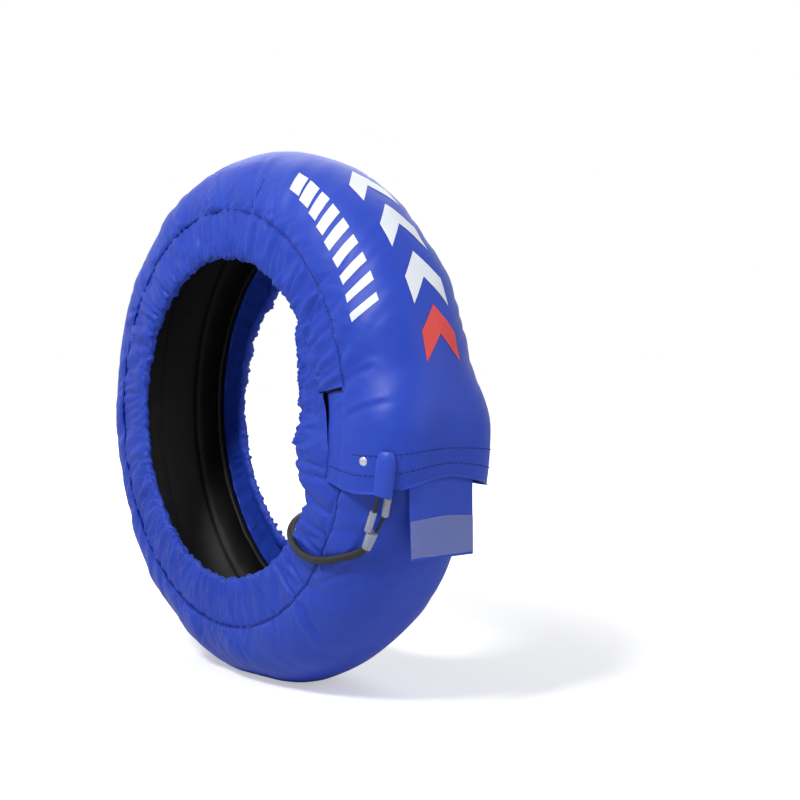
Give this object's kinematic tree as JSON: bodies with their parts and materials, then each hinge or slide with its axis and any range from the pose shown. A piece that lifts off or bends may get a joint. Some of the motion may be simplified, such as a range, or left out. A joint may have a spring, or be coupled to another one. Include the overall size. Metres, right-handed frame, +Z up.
{
  "type": "motorcycle tire warmer",
  "caption": "Motorcycle tire warmer: padded blue nylon belt for a front tyre, with gathered side skirts, black heat-resistant lining, closing flap and supply cable.",
  "frame": {"origin": "middle of the small flat spot on which the wrapped belt stands on the floor", "axes": "+Z up, +Y along the wheel's axle, +X towards the closing flap, the cable leaves at -Y"},
  "size_m": [0.63, 0.2794, 0.619],
  "materials": {
    "blue_nylon": "satin coated nylon",
    "blue_skirt_nylon": "satin uncoated nylon",
    "wadding": "matt polyester wadding",
    "black_lining": "matt woven aramid",
    "black_tape": "hook and loop pile",
    "silicone": "matt silicone ribbon",
    "elastic": "braided elastic cord",
    "cable_rubber": "satin black rubber",
    "thermostat_case": "moulded phenolic",
    "nickel": "polished nickel plate",
    "clear_tube": "clear shrink tube",
    "clear_vinyl": "milky clear vinyl"
  },
  "bodies": {
    "root": {"tread_cover": "blue_nylon", "insulation_pad": "wadding", "heating_element": "silicone", "thermostat": "thermostat_case", "thermal_lining": "black_lining", "overlap_tongue": "black_lining", "near_side_skirt": "blue_skirt_nylon", "far_side_skirt": "blue_skirt_nylon", "near_hem_elastic": "elastic", "far_hem_elastic": "elastic", "hook_tape": "black_tape", "loop_tape": "black_tape", "dome_rivet": "nickel", "rivet_washer": "nickel", "cable_tab": "blue_nylon", "live_lead": "cable_rubber", "neutral_lead": "cable_rubber", "live_splice_sleeve": "clear_tube", "neutral_splice_sleeve": "clear_tube", "neutral_tail": "cable_rubber", "cable_boot": "clear_tube", "power_cable": "cable_rubber", "cable_coil": "cable_rubber", "plug_cable": "cable_rubber", "plug_body": "cable_rubber", "plug_live_pin": "nickel", "plug_neutral_pin": "nickel", "info_pocket": "blue_nylon", "pocket_window": "clear_vinyl"}
  },
  "joints": []
}
